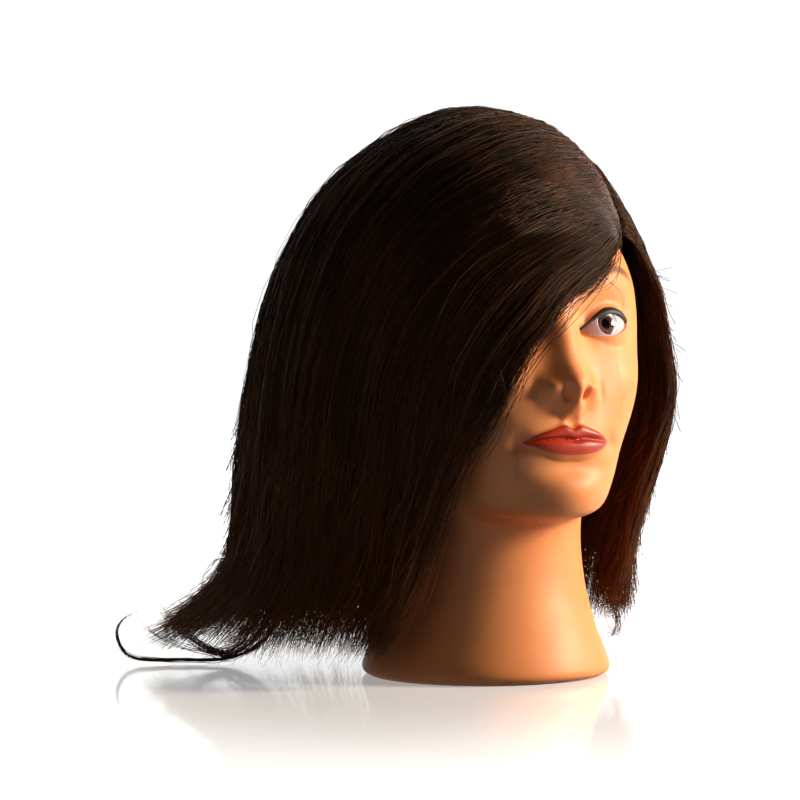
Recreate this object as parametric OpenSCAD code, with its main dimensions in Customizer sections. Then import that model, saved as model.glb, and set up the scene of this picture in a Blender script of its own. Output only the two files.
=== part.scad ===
// Mannequin training head: a foam-filled vinyl head with rooted long hair and a clamp socket in its foot.
// Millimetres. +Z is up, the face looks to -Y, and the origin is the centre of the foot on the table.

/* [Head] */
// Height of the bare head above the table
head_h = 279; // [265:1:290]
// Thickness of the vinyl skin
skin_t = 3.5; // [2.5:0.1:4.5]
// Thickness of the coat that locks the hair roots
coat_t = 1; // [0.6:0.1:1.5]

/* [Foot] */
// Diameter of the disc that closes the foot
disc_d = 106; // [100:1:108]
// Thickness of that disc
disc_t = 5; // [4:0.5:7]

/* [Clamp socket] */
// Diameter of the bore that takes the clamp's pin
bore_d = 26; // [22:0.5:30]
// Depth of the bore
bore_l = 70; // [50:1:80]
// Wall of the sleeve and of its closed end
sleeve_t = 3; // [2:0.5:4]
// Diameter of the flange
flange_d = 60; // [52:1:64]
// Thickness of the flange
flange_t = 3; // [2.5:0.5:4]
// Shank diameter of the flange screws
screw_d = 3.2; // [2.8:0.1:4]
// Length of the flange screws
screw_l = 13; // [11:1:18]

/* [Eyes] */
// Diameter of the ball that the eye blank is cut from
eye_d = 40; // [38:0.5:42]
// Diameter of the iris
iris_d = 11.6; // [11:0.2:13]

/* [Hair] */
// Clearance between the hair and the skin
hair_gap = 0.6; // [0.4:0.1:1.2]
// Thickness of the hanging hair
hair_t = 22; // [14:1:26]
// Share of each section's width that is left open to its neighbour
part_gap = 0.02; // [0.01:0.005:0.05]

/* [Hidden] */
$fn = 64;

SKIN = [0.86, 0.5, 0.28];
HAIR = [0.16, 0.09, 0.06];

// Rings of the head from foot to crown: front y and z, back y and z, half width, y of the widest point,
// and the powers that square the front and the back. Here y counts forward, towards the face.
RINGS = [
    [57.5, 0, -57.5, 0, 61, 0, 2, 2],
    [61, 5, -61, 5, 64.5, 0, 2, 2],
    [54, 24, -55, 25, 57.5, 0, 2, 2],
    [49, 42, -51, 45, 52.5, 0, 2, 2],
    [47, 62, -50, 72, 49.5, 0, 2, 2],
    [49, 76, -52, 98, 49, 0, 2, 2],
    [57, 80, -55, 113, 49, 0, 2.05, 2],
    [67, 81.5, -58, 122, 50, 0, 2.1, 2.1],
    [75, 85, -62, 130, 51.5, 0, 2.1, 2.2],
    [79, 94, -68, 138, 54, 2, 2.1, 2.2],
    [79, 106, -77, 148, 58, 5, 2.15, 2.2],
    [78, 122, -89, 160, 63.5, 8, 2.25, 2.2],
    [75, 144, -101, 175, 69, 7, 2.4, 2.2],
    [71, 164, -108, 189, 72.5, 2, 2.5, 2.2],
    [69, 184, -111, 202, 74, -5, 2.6, 2.2],
    [67, 202, -111, 215, 74, -12, 2.5, 2.2],
    [58, 222, -106, 231, 71.5, -18, 2.3, 2.2],
    [44, 243, -95, 249, 64, -22, 2.15, 2.15],
    [26, 259, -79, 263, 53, -25, 2.05, 2.1],
    [6, 271, -60, 273, 37, -27, 2, 2],
    [-9, 276.5, -45, 277, 21, -27, 2, 2],
    [-27, 279, -27, 279, 0.5, -27, 2, 2]];
NOMINAL_H = 279;
k_head = head_h / NOMINAL_H;
ring_count = 40;      // rings that are drawn
ring_sides = 48;      // points round a ring
face_crowding = 33;   // degrees by which those points crowd towards the face
coat_ring = 30;       // ring where the scalp, and so the coat, begins
face_tilt = 12;       // the face looks up by this angle
mouth = [82, 121.5];   // y and z of the mouth

// Locks of hair on the outer surface, from the parting or crown to the tip, as x, forward y and z
LOCKS = [
    [[52, 44, 226], [42, 60, 215], [27, 68, 201], [-1, 74, 190], [-24, 74, 168], [-39, 71, 140], [-56, 58, 110],
     [-62, 43, 78], [-69, 36, 45], [-86, 31, 12]],
    [[54, 34, 237], [36, 52, 242], [8, 66, 236], [-28, 68, 218], [-58, 59, 190], [-74, 47, 158], [-80, 38, 124],
     [-83, 31, 88], [-88, 26, 50], [-102, 24, 12]],
    [[54, 20, 250], [33, 35, 263], [0, 42, 265], [-42, 42, 245], [-75, 32, 210], [-89, 19, 175], [-94, 10, 138],
     [-97, 6, 100], [-101, 4, 58], [-114, 4, 12]],
    [[50, 4, 264], [30, 9, 278], [-8, 9, 282], [-53, 5, 261], [-85, -4, 223], [-97, -12, 186], [-102, -18, 148],
     [-105, -21, 106], [-109, -22, 50], [-130, -23, 9]],
    [[43, -16, 274], [22, -20, 287], [-16, -28, 287], [-58, -42, 262], [-83, -52, 228], [-94, -60, 190],
     [-99, -66, 150], [-103, -71, 100], [-107, -74, 46], [-140, -98, 8]],
    [[31, -37, 279], [12, -40, 290], [-15, -63, 282], [-43, -88, 256], [-59, -103, 221], [-68, -113, 184],
     [-72, -118, 146], [-76, -122, 98], [-82, -129, 44], [-110, -154, 8]],
    [[19, -53, 280], [9, -68, 284], [-2, -90, 269], [-8, -112, 241], [-11, -126, 206], [-12, -133, 170],
     [-12, -136, 134], [-12, -137, 96], [-12, -141, 44], [-16, -160, 9]],
    [[29, -48, 279], [35, -60, 281], [40, -84, 264], [47, -103, 235], [53, -115, 202], [58, -122, 168],
     [60, -125, 134], [60, -125, 96], [59, -128, 58], [63, -142, 10]],
    [[45, -18, 273], [54, -31, 271], [68, -48, 255], [81, -61, 228], [91, -69, 198], [96, -73, 164], [98, -75, 130],
     [94, -75, 94], [90, -75, 58], [92, -82, 14]],
    [[52, 6, 261], [62, 8, 259], [77, 6, 244], [90, 3, 221], [99, 0, 194], [105, -3, 162], [106, -5, 128],
     [97, -7, 92], [88, -8, 58], [84, -8, 20]],
    [[54, 42, 225], [62, 42, 223], [74, 40, 212], [85, 37, 198], [93, 33, 176], [99, 30, 150], [97, 26, 122],
     [86, 23, 90], [77, 21, 58], [72, 20, 24]]];
// Rows along each section
lock_rows = [21, 21, 21, 24, 21, 21, 21, 21, 21, 21];
lock_cols = 6;        // columns across a section
lock_start = 0.014;   // where a section begins, clear of the one across the parting

// ---- plain functions ----
function mix(a, b, f) = a + (b - a) * f;
function clamped(x, low, high) = min(max(x, low), high);
function smooth(x, a, b) = let (f = clamped((x - a) / (b - a), 0, 1)) f * f * (3 - 2 * f);
function bump(x, r) = exp(-pow(x / r, 2));
function unit(v) = v / max(norm(v), 1e-9);
function spline(p, q, r, s, f) =
    0.5 * (2 * q + (r - p) * f + (2 * p - 5 * q + 4 * r - s) * f * f + (3 * q - p - 3 * r + s) * f * f * f);
function along(list, t) =
    let (n = len(list) - 1, x = clamped(t, 0, 0.999999) * n, i = floor(x))
    spline(list[max(i - 1, 0)], list[i], list[i + 1], list[min(i + 2, n)], x - i);
function flip(p) = [p[0], -p[1], p[2]];

// ---- head surface ----
// Point of a ring at an angle from the face's midline
function ring_point(s, a) =
    let (c = cos(a), q = sin(a), n = mix(s[7], s[6], 0.5 + 0.5 * clamped(c / 0.35, -1, 1)),
        y = s[5] + (c >= 0 ? s[0] - s[5] : s[5] - s[2]) * sign(c) * pow(abs(c), 2 / n))
    [s[4] * sign(q) * pow(abs(q), 2 / n), y, mix(s[1], s[3], (s[0] - y) / max(s[0] - s[2], 0.001))];

// How far the features stand forward of the plain rings, at u sideways and v up the face from the mouth
NOSE_HEIGHT = [[7, 0], [9.5, 1.2], [12, 4.4], [15, 7.4], [19, 9.8], [24, 11.8], [28, 12], [32, 10], [37, 7.6],
    [46, 5.2], [56, 3], [64, 1.4], [72, 0.5], [82, 0]];
NOSE_WIDTH = [[8, 3.6], [13, 5.4], [17, 6.6], [21, 8], [25, 9.2], [34, 7.8], [50, 7], [60, 8], [72, 14], [82, 20]];
function nose(u, v) = lookup(v, NOSE_HEIGHT) * exp(-pow(u / lookup(v, NOSE_WIDTH), 2.2))
    + 3.4 * bump(u, 15.5) * bump(v - 30, 16) + 4 * bump(u - 12.5, 4.8) * bump(v - 23.5, 5.6);
function sockets(u, v) = -4.6 * bump(u - 29, 17) * bump(v - 60, 12) - 2.6 * bump(u - 16, 6.5) * bump(v - 57, 9);
function cheeks(u, v) = 1.6 * bump(u - 32, 18) * bump(v - 83, 9) + 3.2 * bump(u - 42, 17) * bump(v - 33, 17)
    - 1.8 * bump(u - 44, 13) * bump(v - 5, 14);
function lips(u, v) = 0.8 * bump(u, 22) * bump(v - 3, 17) + 2.2 * bump(u, 17) * bump(v - 3.6, 3)
    + 2.8 * bump(u, 15) * bump(v + 4.2, 3.6) - 1.5 * bump(u, 24) * bump(v, 1.4);
function chin(u, v) = -2.2 * bump(u, 18) * bump(v + 13, 5.5) + 2.8 * bump(u, 17) * bump(v + 26, 11);
function features(u, v) = nose(u, v) + sockets(u, v) + cheeks(u, v) + lips(u, v) + chin(u, v);
function ear(y, z) = 7 * bump(y + 6, 9) * bump(z - 166, 24);

// Point of the head: offset moves it along the plain rings' own normal, and detail scales the features
function head_point(t, a, offset = 0, detail = 1) =
    let (s = along(RINGS, t), p = ring_point(s, a),
        across = ring_point(s, a + 1) - ring_point(s, a - 1),
        rise = ring_point(along(RINGS, t + 0.004), a) - ring_point(along(RINGS, t - 0.004), a),
        n = unit(cross(rise, across)),
        v = -(p[1] - mouth[0]) * sin(face_tilt) + (p[2] - mouth[1]) * cos(face_tilt),
        push = detail * features(abs(p[0]), v) * smooth(p[1], 5, 38),
        out = detail * ear(p[1], p[2]) * sign(p[0]) * (1 - smooth(abs(cos(a)), 0.3, 0.7)))
    k_head * (p + offset * n + [out, push * cos(face_tilt), push * sin(face_tilt)]);

// Points stand closer together on the face than on the back of the head
function ring_angle(j) = let (a = j * 360 / ring_sides) a - face_crowding * sin(a);
function ring_t(i) = i / ring_count * 0.995;
function head_rings(from, offset, detail) =
    [for (i = [from:ring_count]) [for (j = [0:ring_sides - 1])
        flip(head_point(ring_t(i), ring_angle(j), offset, detail))]];
function round_ring(r, z) = [for (j = [0:ring_sides - 1]) [r * sin(ring_angle(j)), -r * cos(ring_angle(j)), z]];

// Triangles between successive rings, all turning the same way
function ring_faces(rings, sides, start = 0) = [for (i = [0:rings - 2]) for (j = [0:sides - 1])
    let (a = start + i * sides + j, b = start + i * sides + (j + 1) % sides)
    each [[a, a + sides, b], [b, a + sides, b + sides]]];
function reversed(faces) = [for (f = faces) [f[2], f[1], f[0]]];
function flat(rings) = [for (r = rings) each r];

// Closed solid through a stack of rings
module ring_solid(rings) {
    n = len(rings);
    bottom = [for (j = [0:ring_sides - 1]) j];
    top = [for (j = [ring_sides - 1:-1:0]) (n - 1) * ring_sides + j];
    polyhedron(flat(rings), concat(ring_faces(n, ring_sides), [bottom, top]));
}

// Shell between an outer and an inner stack of rings, open at the lowest ring
module ring_shell(outer, inner) {
    no = len(outer);
    ni = len(inner);
    base = no * ring_sides;
    rim = [for (j = [0:ring_sides - 1]) let (k = (j + 1) % ring_sides)
        each [[j, k, base + j], [k, base + k, base + j]]];
    top = [for (j = [ring_sides - 1:-1:0]) (no - 1) * ring_sides + j];
    under = [for (j = [0:ring_sides - 1]) base + (ni - 1) * ring_sides + j];
    polyhedron(concat(flat(outer), flat(inner)),
        concat(ring_faces(no, ring_sides), reversed(ring_faces(ni, ring_sides, base)), rim, [top, under]));
}

foot_z = flange_t + disc_t;
foot_ring = 3;        // first ring of the foam above the disc
inner_detail = 0.7;   // share of the features that the inside of the skin follows

function foot_rings() = [round_ring(disc_d / 2, 0), round_ring(disc_d / 2, foot_z)];
function skin_inside() = concat(foot_rings(), head_rings(foot_ring, -skin_t, inner_detail));

// ---- eyes ----
eye_x = 29.5;
eye_v = 58.6;          // height of the eye above the mouth in the face
eye_depth = 22.8;      // from the face plane through the mouth back to the ball's centre
blank_t = 8.5;         // thickness of the eye blank
lens_t = 1.4;         // height of the clear dome

// Puts its children at an eye, with +Z looking out of it
module at_eye(side) {
    y = mouth[0] - eye_v * sin(face_tilt) - eye_depth * cos(face_tilt);
    z = mouth[1] + eye_v * cos(face_tilt) - eye_depth * sin(face_tilt);
    translate([side * eye_x, -y, z] * k_head) rotate([90 - face_tilt, 0, 0]) children();
}

// Blank of the eye, grown by a clearance for the seats that hold it
module eye_blank(grow = 0) {
    intersection() {
        sphere(d = eye_d + 2 * grow);
        translate([0, 0, eye_d / 2 - blank_t - grow]) cylinder(d = eye_d + 4, h = eye_d);
    }
}

// Almond opening between the lids
module lid_opening(side) {
    half = 14.6;
    upper = [for (i = [0:10]) let (a = i / 10) [mix(-half, half, a) + 0.8, -3.6 + 5.2 * (a + sin(180 * pow(a, 1.35)))]];
    lower = [for (i = [9:-1:1]) let (a = i / 10) [mix(-half, half, a) + 0.8, -3.6 + 5.2 * a - 6.6 * sin(180 * a)]];
    at_eye(side) translate([0, 0, eye_d / 2 - blank_t]) linear_extrude(30)
        scale([side, 1]) polygon(concat(upper, lower));
}

module eye_white(side) {
    color("mistyrose") at_eye(side) difference() {
        eye_blank();
        translate([0, 0, eye_d / 2 - lens_t - 0.6]) cylinder(d = iris_d, h = 4);
    }
}

module iris_disc(side) {
    color("saddlebrown") at_eye(side) translate([0, 0, eye_d / 2 - lens_t - 0.6]) cylinder(d = iris_d, h = 0.6);
}

module cornea_lens(side) {
    color("azure", 0.4) at_eye(side) intersection() {
        translate([0, 0, eye_d / 2 - lens_t]) cylinder(d = iris_d, h = 4);
        translate([0, 0, 0.3]) sphere(d = eye_d, $fn = 180);
    }
}

// ---- head ----
module head_shell() {
    color(SKIN) difference() {
        ring_shell(head_rings(0, 0, 1), skin_inside());
        for (side = [-1, 1]) {
            at_eye(side) eye_blank(0.05);
            lid_opening(side);
        }
    }
}

module root_lock_coat() {
    color("wheat") ring_shell(head_rings(coat_ring, -skin_t, inner_detail),
        head_rings(coat_ring, -skin_t - coat_t, inner_detail));
}

module foam_core() {
    rings = concat([round_ring(disc_d / 2, foot_z)], head_rings(foot_ring, -skin_t, inner_detail));
    sealed = [for (i = [0:len(rings) - 1]) i <= coat_ring - foot_ring ? rings[i]
        : [for (j = [0:ring_sides - 1])
            flip(head_point(ring_t(i - 1 + foot_ring), ring_angle(j), -skin_t - coat_t, inner_detail))]];
    color("cornsilk") difference() {
        ring_solid(sealed);
        cylinder(d = bore_d + 2 * sleeve_t, h = bore_l + sleeve_t);
        at_screws() cylinder(d = screw_d, h = screw_l);
        for (side = [-1, 1]) {
            at_eye(side) eye_blank(0.05);
            lid_opening(side);
        }
    }
}

// ---- foot ----
screw_count = 4;
module at_screws() {
    for (i = [0:screw_count - 1]) rotate(45 + i * 360 / screw_count)
        translate([(bore_d / 2 + sleeve_t + flange_d / 2) / 2, 0, 0]) children();
}

module screw_head() {
    cylinder(d1 = 2 * screw_d, d2 = screw_d, h = screw_d / 2);
}

module base_disc() {
    color("dimgray") difference() {
        translate([0, 0, flange_t]) cylinder(d = disc_d - 0.6, h = disc_t, $fn = 96);
        cylinder(d = bore_d + 2 * sleeve_t, h = 20);
        at_screws() cylinder(d = screw_d, h = screw_l);
    }
}

module clamp_socket() {
    color("whitesmoke") difference() {
        union() {
            cylinder(d = bore_d + 2 * sleeve_t, h = bore_l + sleeve_t);
            cylinder(d = flange_d, h = flange_t);
        }
        translate([0, 0, -1]) cylinder(d = bore_d, h = bore_l + 1);
        at_screws() {
            screw_head();
            cylinder(d = screw_d, h = screw_l);
        }
    }
}

module socket_screws() {
    drive = 1.6;
    color("silver") at_screws() difference() {
        union() {
            screw_head();
            cylinder(d = screw_d, h = screw_l);
        }
        for (turn = [0, 90]) rotate(turn) cube([drive * 2, 0.6, 2 * drive], center = true);
    }
}

// ---- hair ----
function lock_point(c, t) =
    let (i = floor(c), n = len(LOCKS) - 1, f = c - i)
    spline(along(LOCKS[max(i - 1, 0)], t), along(LOCKS[i], t), along(LOCKS[min(i + 1, n)], t),
        along(LOCKS[min(i + 2, n)], t), f);

// Centre of the head or neck beside a point of the hair
function core_point(p) = let (h = clamped(p[2], 30, 205)) [0, -18 * smooth(h, 60, 190), h];
// The hair is thin along the parting and at its edges beside the face
function hair_depth(c, t) = hair_t * smooth(t, -0.1, 0.3) * (0.35 + 0.65 * smooth(min(c, 10 - c), 0, 1.2));
function lock_inside(c, t) = let (p = lock_point(c, t), d = core_point(p) - p)
    p + unit(d) * mix(norm(d) * 0.45, hair_depth(c, t), smooth(t, 0.35, 0.5));

module hair_section(index) {
    cols = [for (j = [0:lock_cols]) index + mix(part_gap, 1 - part_gap, j / lock_cols)];
    steps = lock_rows[index];
    rows = [for (i = [0:steps]) mix(lock_start, 1, i / steps)];
    loops = [for (t = rows) concat([for (c = cols) flip(lock_point(c, t))],
        [for (k = [lock_cols:-1:0]) flip(lock_inside(cols[k], t))])];
    sides = 2 * (lock_cols + 1);
    ends = [[for (j = [sides - 1:-1:0]) j], [for (j = [0:sides - 1]) steps * sides + j]];
    // resize() leaves the size alone and makes the section one mesh
    color(HAIR) resize([0, 0, 0]) difference() {
        polyhedron(flat(loops), concat(reversed(ring_faces(steps + 1, sides)), ends));
        ring_solid(head_rings(0, hair_gap, 1));
    }
}

head_shell();
root_lock_coat();
foam_core();
base_disc();
clamp_socket();
socket_screws();
eye_white(1);  // eye_white_left
eye_white(-1);  // eye_white_right
iris_disc(1);  // iris_disc_left
iris_disc(-1);  // iris_disc_right
cornea_lens(1);  // cornea_lens_left
cornea_lens(-1);  // cornea_lens_right
hair_section(0);  // hair_fringe
hair_section(1);  // hair_front_right
hair_section(2);  // hair_temple_right
hair_section(3);  // hair_side_right
hair_section(4);  // hair_back_right
hair_section(5);  // hair_nape_right
hair_section(6);  // hair_nape_left
hair_section(7);  // hair_back_left
hair_section(8);  // hair_side_left
hair_section(9);  // hair_front_left
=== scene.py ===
"""Looks of the mannequin training head: painted vinyl skin, eyes, rooted hair, foot, light and camera."""

import math

import bpy
import numpy as np
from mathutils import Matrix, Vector
from mathutils.bvhtree import BVHTree


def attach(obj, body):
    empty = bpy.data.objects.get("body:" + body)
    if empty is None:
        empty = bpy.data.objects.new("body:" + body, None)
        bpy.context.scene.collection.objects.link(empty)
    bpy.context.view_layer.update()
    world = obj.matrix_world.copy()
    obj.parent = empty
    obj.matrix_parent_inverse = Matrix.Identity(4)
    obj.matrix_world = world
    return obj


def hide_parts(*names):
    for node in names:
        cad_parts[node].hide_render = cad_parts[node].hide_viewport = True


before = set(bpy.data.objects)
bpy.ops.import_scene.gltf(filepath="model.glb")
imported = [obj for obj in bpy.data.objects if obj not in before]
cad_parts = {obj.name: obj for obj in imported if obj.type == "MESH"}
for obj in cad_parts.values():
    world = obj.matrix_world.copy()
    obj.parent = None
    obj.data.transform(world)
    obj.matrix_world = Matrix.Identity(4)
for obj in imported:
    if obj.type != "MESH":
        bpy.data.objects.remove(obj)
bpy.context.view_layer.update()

MM = 0.001
rng = np.random.default_rng(7)

# ---------------------------------------------------------------- plain functions


def bump(x, r):
    return np.exp(-((x / r) ** 2))


def smooth(x, a, b):
    k = np.clip((x - a) / (b - a), 0, 1)
    return k * k * (3 - 2 * k)


def mix(a, b, f):
    return a + (b - a) * f


def spline(p, q, r, s, f):
    return 0.5 * (2 * q + (r - p) * f + (2 * p - 5 * q + 4 * r - s) * f**2 + (3 * q - p - 3 * r + s) * f**3)


def along(points, t):
    """Smooth curve through points (first axis) at t from 0 to 1."""
    last = len(points) - 1
    x = np.clip(t, 0, 1 - 1e-9) * last
    i = x.astype(int)
    f = (x - i).reshape(-1, *[1] * (points.ndim - 1))
    at = lambda k: points[np.clip(k, 0, last)]
    return spline(at(i - 1), at(i), at(i + 1), at(i + 2), f)


def keyed(v, keys):
    """Smooth curve through (v, value) pairs, flat outside them."""
    x, y = np.array(keys, float).T
    v = np.clip(v, x[0], x[-1])
    slope = np.gradient(y, x)
    slope[0] = slope[-1] = 0
    i = np.clip(np.searchsorted(x, v, side="right") - 1, 0, len(x) - 2)
    h = x[i + 1] - x[i]
    f = (v - x[i]) / h
    rise = (f**3 - 2 * f**2 + f) * slope[i] + (f**3 - f**2) * slope[i + 1]
    return mix(y[i], y[i + 1], f * f * (3 - 2 * f)) + h * rise


# ---------------------------------------------------------------- head shape, in millimetres, y forward

# Rings from foot to crown: front y, z, back y, z, half width, y of the widest point, powers of front and back
RINGS = np.array([
    (57.5, 0, -57.5, 0, 61, 0, 2, 2),
    (61, 5, -61, 5, 64.5, 0, 2, 2),
    (54, 24, -55, 25, 57.5, 0, 2, 2),
    (49, 42, -51, 45, 52.5, 0, 2, 2),
    (47, 62, -50, 72, 49.5, 0, 2, 2),
    (49, 76, -52, 98, 49, 0, 2, 2),
    (57, 80, -55, 113, 49, 0, 2.05, 2),
    (67, 81.5, -58, 122, 50, 0, 2.1, 2.1),
    (75, 85, -62, 130, 51.5, 0, 2.1, 2.2),
    (79, 94, -68, 138, 54, 2, 2.1, 2.2),
    (79, 106, -77, 148, 58, 5, 2.15, 2.2),
    (78, 122, -89, 160, 63.5, 8, 2.25, 2.2),
    (75, 144, -101, 175, 69, 7, 2.4, 2.2),
    (71, 164, -108, 189, 72.5, 2, 2.5, 2.2),
    (69, 184, -111, 202, 74, -5, 2.6, 2.2),
    (67, 202, -111, 215, 74, -12, 2.5, 2.2),
    (58, 222, -106, 231, 71.5, -18, 2.3, 2.2),
    (44, 243, -95, 249, 64, -22, 2.15, 2.15),
    (26, 259, -79, 263, 53, -25, 2.05, 2.1),
    (6, 271, -60, 273, 37, -27, 2, 2),
    (-9, 276.5, -45, 277, 21, -27, 2, 2),
    (-27, 279, -27, 279, 0.5, -27, 2, 2),
])
TILT = math.radians(12)                              # the face looks up by this much
MOUTH_Y, MOUTH_Z = 82, 121.5
LIP_HALF = 25.2
EYE_U, EYE_V, EYE_DEPTH, EYE_R = 29.5, 58.6, -22.8, 20.0   # centre and radius of the eyeball, up the face
LID_INNER, LID_OUTER = 14.4, 44.6                    # corners of the eye
IRIS_R, PUPIL_R, LENS_R = 5.8, 2.9, 9.4
SKIN_T, LID_T = 3.5, 0.9
SOCKET_GAP = 2.5                                     # the skin in the opening lies this far inside the eyeball
FACE_ROOM = 13                                       # the skin's inside lies this much deeper behind the face
FOAM_GAP = 3                                         # between the skin's inside and the foam
FOOT_Z, DISC_R = 8.0, 53.0
SKIN_CELL = 0.55                                     # spacing of the skin's points round the eyes


def ring_points(t, a):
    """Plain head surface for ring parameters t (n,) and angles a (m,) from the face's midline."""
    fy, fz, by, bz, w, wy, fp, bp = [k[:, None] for k in along(RINGS, t).T]
    c, s = np.cos(a)[None], np.sin(a)[None]
    power = mix(bp, fp, 0.5 + 0.5 * np.clip(c / 0.35, -1, 1))
    x = w * np.sign(s) * np.abs(s) ** (2 / power)
    y = wy + np.where(c >= 0, fy - wy, wy - by) * np.sign(c) * np.abs(c) ** (2 / power)
    z = mix(fz, bz, (fy - y) / np.maximum(fy - by, 1e-6))
    return x, y, z


def to_face(y, z):
    """Height v up the face from the mouth, and depth d out of it."""
    up, out = z - MOUTH_Z, y - MOUTH_Y
    return up * math.cos(TILT) - out * math.sin(TILT), out * math.cos(TILT) + up * math.sin(TILT)


def from_face(v, d):
    y = MOUTH_Y - v * math.sin(TILT) + d * math.cos(TILT)
    return y, MOUTH_Z + v * math.cos(TILT) + d * math.sin(TILT)


def nose(u, v):
    height = keyed(v, [(7, 0), (9.5, 1.2), (12, 4.4), (15, 7.4), (19, 8.2), (24, 9), (28, 8.7), (32, 7.2),
                       (37, 5.4), (46, 4), (56, 2.6), (64, 1.4), (72, 0.5), (82, 0)])
    width = keyed(v, [(8, 3.4), (13, 5.4), (17, 6.6), (21, 8), (25, 9.2), (29, 9.2), (34, 8.4), (42, 8),
                      (50, 7.6), (60, 8), (72, 14), (82, 20)])
    flank = keyed(v, [(13, 0), (17, 1), (22, 3), (28, 3.4), (36, 2.8), (48, 2.2), (60, 1), (76, 0)])
    wing = 4.2 * bump(u - 12.5, 4.6) * bump(v - 23.5, 5.2) - 1.1 * bump(u - 18.8, 2.8) * bump(v - 24, 6)
    nostril = -4.8 * bump(u - 5.2 - 0.25 * (v - 22), 2.2) * bump(v - 21, 3.4)
    return height * np.exp(-((u / width) ** 2.2)) + flank * bump(u, 15.5) + wing + nostril


def eye_area(u, v):
    socket = -4.6 * bump(u - 29, 17) * bump(v - 60, 12) - 2.6 * bump(u - 16, 6.5) * bump(v - 57, 9)
    brow_bone = 1.6 * bump(u - 32, 18) * bump(v - 83, 9)
    return socket + brow_bone


def cheek(u, v):
    return 3.2 * bump(u - 42, 17) * bump(v - 33, 17) - 1.8 * bump(u - 44, 13) * bump(v - 5, 14)


def mouth_line(u):
    return -0.5 * bump(u, 4) + 0.4 * bump(u - 8, 5) - 0.3 * smooth(u, 14, 25)


def lip_edges(u):
    """Heights of the upper and lower border of the lips."""
    k = np.clip(1 - (u / LIP_HALF) ** 2, 0, 1)
    top = 6.4 * k**1.1 - 1.3 * bump(u, 2.3) + 0.7 * bump(u - 5.6, 3.2)
    return top, -7.6 * (1 - np.clip(u / LIP_HALF, 0, 1) ** 2.5)


def lips(u, v):
    line = mouth_line(u)
    top, low = lip_edges(u)
    k = np.clip(1 - (u / (LIP_HALF + 1)) ** 2, 0, 1) ** 0.8
    up = np.clip((v - line) / np.maximum(top - line, 0.6), 0, 1.8)
    down = np.clip((line - v) / np.maximum(line - low, 0.6), 0, 1.8)
    upper = 2.3 * np.where(v >= line, np.sin(np.pi * np.clip(up * 0.72 + 0.12, 0, 1)) ** 0.9, 0)
    lower = 3.2 * np.where(v < line, np.sin(np.pi * np.clip(down * 0.62 + 0.14, 0, 1)) ** 0.8, 0)
    crease = -1.5 * bump(v - line, 1.1) * smooth(-u, -27, -20)
    corner = -2.2 * bump(u - 27, 4.6) * bump(v + 0.6, 4.6)
    groove = -1.0 * bump(u, 2.3) * bump(v - 11, 3.6) + 0.6 * bump(u - 4.6, 1.8) * bump(v - 10.5, 4)
    muzzle = 0.8 * bump(u, 22) * bump(v - 3, 17)
    return muzzle + k * (upper + lower) + crease + corner + groove


def chin(u, v):
    return -2.2 * bump(u, 18) * bump(v + 13, 5.5) + 2.8 * bump(u, 17) * bump(v + 26, 11)


def lid_line(u):
    """Height of the line between the two corners of the eye."""
    return 55.0 + 5.2 * np.clip((u - LID_INNER) / (LID_OUTER - LID_INNER), 0, 1)


def eye_edge(u, v):
    """Distance outside the opening between the lids, negative inside it."""
    a = np.clip((u - LID_INNER) / (LID_OUTER - LID_INNER), 0, 1)
    top = lid_line(u) + 5.5 * np.sin(np.pi * a) ** 0.9
    low = lid_line(u) - 5.9 * np.sin(np.pi * a**1.2) ** 0.8
    return np.maximum(np.maximum(v - top, low - v) * 0.85, np.maximum(LID_INNER - u, u - LID_OUTER))


def snapped(u, v, cell):
    """Moves points that are within half a cell of the lids' edge onto it, so that the edge is clean."""
    h = 0.05
    e = eye_edge(u, v)
    gu = (eye_edge(u + h, v) - eye_edge(u - h, v)) / (2 * h)
    gv = (eye_edge(u, v + h) - eye_edge(u, v - h)) / (2 * h)
    size = np.maximum(gu**2 + gv**2, 0.05)
    near = np.abs(e) < cell * 0.6
    return u - np.where(near, e * gu / size, 0), v - np.where(near, e * gv / size, 0)


def ball_depth(u, v, radius):
    return EYE_DEPTH + np.sqrt(np.clip(radius**2 - (u - EYE_U) ** 2 - (v - EYE_V) ** 2, 0, None))


def ear(y, z):
    """Outward push of the ear: a curled rim round a hollow."""
    r = np.hypot((y + 10) / 15, (z - 168) / 27)
    return 7 * (1 - smooth(r, 0.7, 1.05)) + 3.5 * bump(r - 0.8, 0.16) - 4 * bump(r, 0.42)


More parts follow.
